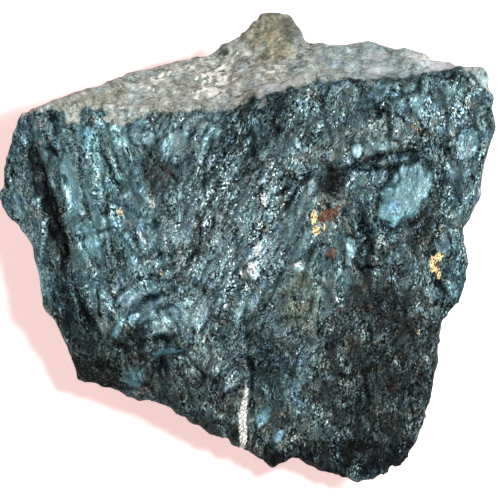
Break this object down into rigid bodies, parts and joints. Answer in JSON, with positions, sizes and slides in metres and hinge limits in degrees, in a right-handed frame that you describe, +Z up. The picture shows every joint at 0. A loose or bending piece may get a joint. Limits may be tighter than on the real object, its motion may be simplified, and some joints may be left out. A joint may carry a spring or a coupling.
{
  "type": "manganese ore lump",
  "caption": "Hand-sized lump of broken ore lying on its back: a broad blue-black glinting fracture face on top, a grey weathered shoulder and a small peak behind it.",
  "frame": {"origin": "centre of the bounding box in plan, on the flat that the lump rests on", "axes": "+X to the right across the fracture face, +Y away towards the weathered shoulder and its peak, +Z up out of the resting flat"},
  "size_m": [0.094, 0.091, 0.0484],
  "materials": {
    "ore": "rough broken ore with a submetallic glint"
  },
  "bodies": {
    "root": {"ore_lump": "ore"}
  },
  "joints": []
}
